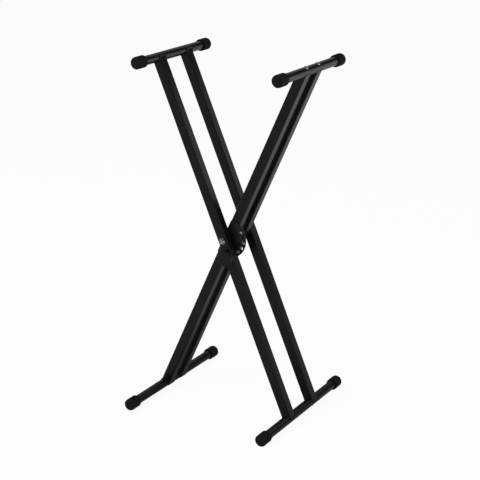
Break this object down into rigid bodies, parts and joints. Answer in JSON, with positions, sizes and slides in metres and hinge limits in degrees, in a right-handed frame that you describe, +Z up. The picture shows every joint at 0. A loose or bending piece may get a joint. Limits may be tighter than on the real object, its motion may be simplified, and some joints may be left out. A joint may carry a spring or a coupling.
{
  "type": "folding keyboard stand",
  "caption": "Double-braced X-shaped folding keyboard stand of black tube with round end-capped bars and a pull-knob height lock.",
  "frame": {"origin": "on the floor, midway between the feet and midway from front to rear", "axes": "+Z up; -Y towards the front, where the pull knob is; +X right, towards the outer frame's foot bar"},
  "size_m": [0.4608, 0.466, 1.0059],
  "materials": {
    "powder_coat": "satin",
    "rubber": "matte",
    "knob_plastic": "satin",
    "bright_zinc": "gloss",
    "steel": "satin",
    "brass": "satin",
    "nylon": "matte"
  },
  "bodies": {
    "outer_frame": {"outer_tube_front": "powder_coat", "outer_tube_rear": "powder_coat", "outer_top_bar": "powder_coat", "outer_foot_bar": "powder_coat", "outer_top_cap_front": "rubber", "outer_top_cap_rear": "rubber", "outer_foot_cap_front": "rubber", "outer_foot_cap_rear": "rubber", "pivot_bolt_front": "bright_zinc", "pivot_bolt_rear": "bright_zinc", "head_washer_front": "bright_zinc", "head_washer_rear": "bright_zinc", "nut_washer_front": "bright_zinc", "nut_washer_rear": "bright_zinc", "pivot_nut_front": "bright_zinc", "pivot_nut_rear": "bright_zinc", "pivot_spacer_front": "nylon", "pivot_spacer_rear": "nylon", "plunger_housing": "steel", "plunger_retainer": "steel", "plunger_spring": "steel"},
    "inner_frame": {"inner_tube_front": "powder_coat", "inner_tube_rear": "powder_coat", "inner_top_bar": "powder_coat", "inner_foot_bar": "powder_coat", "inner_top_cap_front": "rubber", "inner_top_cap_rear": "rubber", "inner_foot_cap_front": "rubber", "inner_foot_cap_rear": "rubber", "locking_plate": "powder_coat", "pivot_sleeve_front": "steel", "pivot_sleeve_rear": "steel", "stop_bolt": "bright_zinc", "stop_nut": "bright_zinc", "top_bar_bolt_front": "bright_zinc", "top_bar_bolt_rear": "bright_zinc", "top_bar_plug_front": "steel", "top_bar_plug_rear": "steel"},
    "lock_knob": {"pull_knob": "knob_plastic", "knob_insert": "brass", "locking_pin": "steel"}
  },
  "joints": [
    {"name": "fold", "type": "hinge", "parent": "outer_frame", "child": "inner_frame", "pos_m": [0, 0, 0.50272], "axis": [0, 1, 0], "range_deg": [-43.4, 80]},
    {"name": "lock", "type": "slide", "parent": "outer_frame", "child": "lock_knob", "axis": [0, 1, 0], "range_m": [0, 0.007], "stiffness_N_per_m": 500, "springref_m": 0.012}
  ]
}
